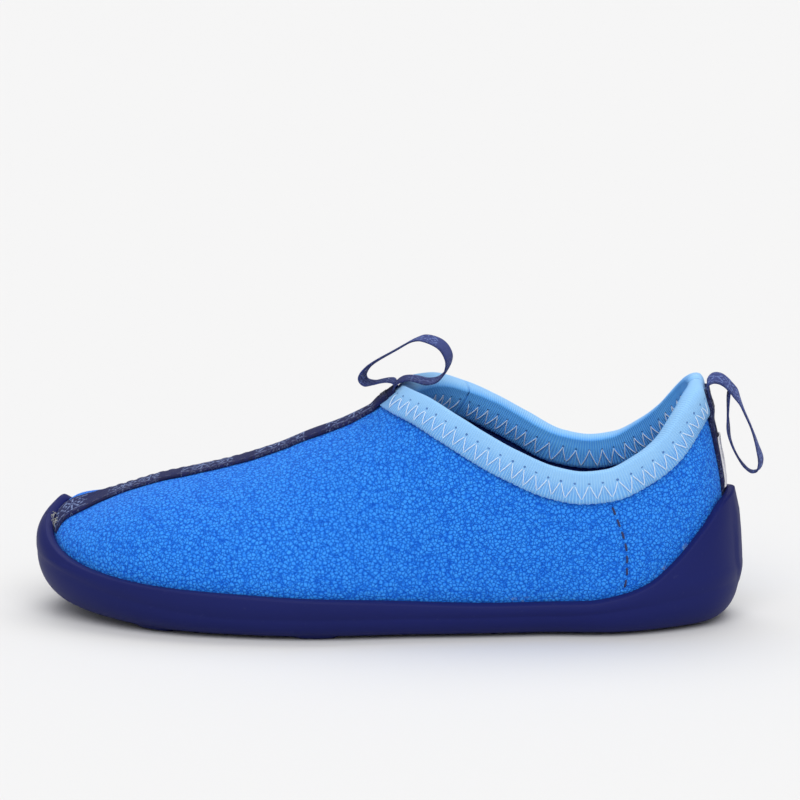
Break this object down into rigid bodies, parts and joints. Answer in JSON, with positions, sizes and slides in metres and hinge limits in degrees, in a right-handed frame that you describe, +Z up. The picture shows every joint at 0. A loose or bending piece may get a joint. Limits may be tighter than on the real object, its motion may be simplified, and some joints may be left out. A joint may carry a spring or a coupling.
{
  "type": "neoprene water shoe",
  "caption": "Low slip-on neoprene water shoe for a child's left foot, with a moulded rubber cup sole, an elastic bound collar and webbing pull loops.",
  "frame": {"origin": "on the ground, half way between the toe of the sole and the back of the heel cup, under the line of the front and back seams", "axes": "+X towards the heel, -X towards the toe, -Y towards the outer side of the foot, +Z up"},
  "size_m": [0.1657, 0.0645, 0.0638],
  "materials": {
    "rubber_navy": "smooth moulded rubber with a soft satin sheen",
    "neoprene_blue": "pebble-textured neoprene, matt",
    "knit_light_blue": "fine ribbed elastic knit",
    "webbing_navy": "flat woven webbing with a plain woven motif",
    "thread_white": "polyester sewing thread",
    "thread_navy": "polyester sewing thread",
    "label_white": "blank satin label",
    "lining_cloth": "knitted lining cloth",
    "foam_grey": "closed-cell foam",
    "fibre_board": "non-woven fibre board",
    "stiffener": "thermoplastic sheet"
  },
  "bodies": {
    "shoe": {"outsole": "rubber_navy", "midsole_foam": "foam_grey", "strobel_board": "fibre_board", "insole_foam": "foam_grey", "insole_cover": "lining_cloth", "quarter_outer": "neoprene_blue", "quarter_inner": "neoprene_blue", "heel_counter": "stiffener", "heel_lining": "lining_cloth", "collar_binding": "knit_light_blue", "zigzag_stitch_outer": "thread_white", "zigzag_stitch_inner": "thread_white", "zigzag_stitch_inside": "thread_white", "instep_tape": "webbing_navy", "heel_tape": "webbing_navy", "heel_label": "label_white", "instep_stitch_outer": "thread_navy", "instep_stitch_inner": "thread_navy", "heel_stitch_outer": "thread_navy", "heel_stitch_inner": "thread_navy", "pocket_stitch_outer": "thread_navy", "pocket_stitch_inner": "thread_navy", "front_bar_tack": "thread_navy", "heel_bar_tack": "thread_navy", "front_loop_root": "webbing_navy", "heel_loop_root": "webbing_navy"},
    "front_loop": {"front_pull_loop": "webbing_navy"},
    "heel_loop": {"heel_pull_loop": "webbing_navy"}
  },
  "joints": [
    {"name": "front_loop_bend", "type": "hinge", "parent": "shoe", "child": "front_loop", "pos_m": [0.00092, 0, 0.05497], "axis": [0, 1, 0], "range_deg": [-10, 12], "stiffness_Nm_per_rad": 0.0005},
    {"name": "heel_loop_bend", "type": "hinge", "parent": "shoe", "child": "heel_loop", "pos_m": [0.07796, 0, 0.05349], "axis": [0, -1, 0], "range_deg": [-3, 115], "stiffness_Nm_per_rad": 0.0005}
  ]
}
